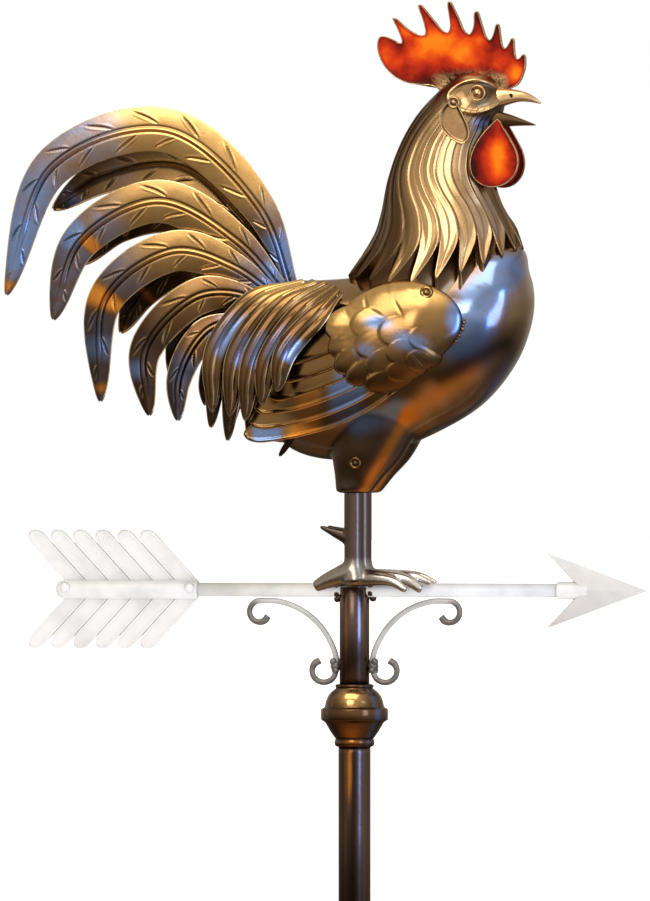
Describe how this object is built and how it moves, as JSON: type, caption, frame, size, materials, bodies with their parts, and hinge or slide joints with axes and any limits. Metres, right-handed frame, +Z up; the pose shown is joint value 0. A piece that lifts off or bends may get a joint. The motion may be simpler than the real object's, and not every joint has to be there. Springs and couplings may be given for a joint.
{
  "type": "weathercock",
  "caption": "Weathercock of formed sheet metal: a cock with sickle tail and red comb stands on an arrow that turns freely on a collared pole.",
  "frame": {"origin": "centre of the pole's flat lower end", "axes": "+Z up along the pole, +X along the arrow towards its point, +Y towards the far flank"},
  "size_m": [0.655, 0.1714, 0.928],
  "materials": {
    "aged_brass": "satin",
    "dark_bronze": "satin",
    "pale_silver": "satin",
    "pewter": "satin",
    "red_enamel": "gloss"
  },
  "bodies": {
    "mast": {"pole": "dark_bronze", "collar": "aged_brass"},
    "vane": {"arrow_flights_lower": "pale_silver", "arrow_flights_upper": "pale_silver", "arrow_rivet_front": "pale_silver", "arrow_rivet_rear": "pale_silver", "arrow_shaft": "pale_silver", "arrow_sleeve": "pale_silver", "arrowhead": "pale_silver", "body": "aged_brass", "comb": "red_enamel", "ear_lobe_far": "aged_brass", "ear_lobe_near": "aged_brass", "head_and_hackle": "aged_brass", "leg_far": "dark_bronze", "leg_near": "dark_bronze", "post": "dark_bronze", "saddle_feather_1_far": "aged_brass", "saddle_feather_1_near": "aged_brass", "saddle_feather_2_far": "aged_brass", "saddle_feather_2_near": "aged_brass", "saddle_feather_3_far": "aged_brass", "saddle_feather_3_near": "aged_brass", "saddle_feather_4_far": "aged_brass", "saddle_feather_4_near": "aged_brass", "saddle_feather_5_far": "aged_brass", "saddle_feather_5_near": "aged_brass", "saddle_feather_6_far": "aged_brass", "saddle_feather_6_near": "aged_brass", "saddle_feather_7_far": "aged_brass", "saddle_feather_7_near": "aged_brass", "scroll_front": "pewter", "scroll_rear": "pewter", "sickle_far_1": "aged_brass", "sickle_far_2": "aged_brass", "sickle_far_3": "aged_brass", "sickle_far_4": "aged_brass", "sickle_far_5": "aged_brass", "sickle_near_1": "aged_brass", "sickle_near_2": "aged_brass", "sickle_near_3": "aged_brass", "sickle_near_4": "aged_brass", "sickle_near_5": "aged_brass", "thigh_rivet_far": "aged_brass", "thigh_rivet_near": "aged_brass", "wattle_far": "red_enamel", "wattle_near": "red_enamel", "wing_feathers_far": "aged_brass", "wing_feathers_near": "aged_brass", "wing_rivet_far": "aged_brass", "wing_rivet_near": "aged_brass", "wing_shoulder_far": "aged_brass", "wing_shoulder_near": "aged_brass"}
  },
  "joints": [
    {"name": "vane_turn", "type": "hinge", "parent": "mast", "child": "vane", "pos_m": [0, 0, 0.23], "axis": [0, 0, 1], "continuous": true}
  ]
}
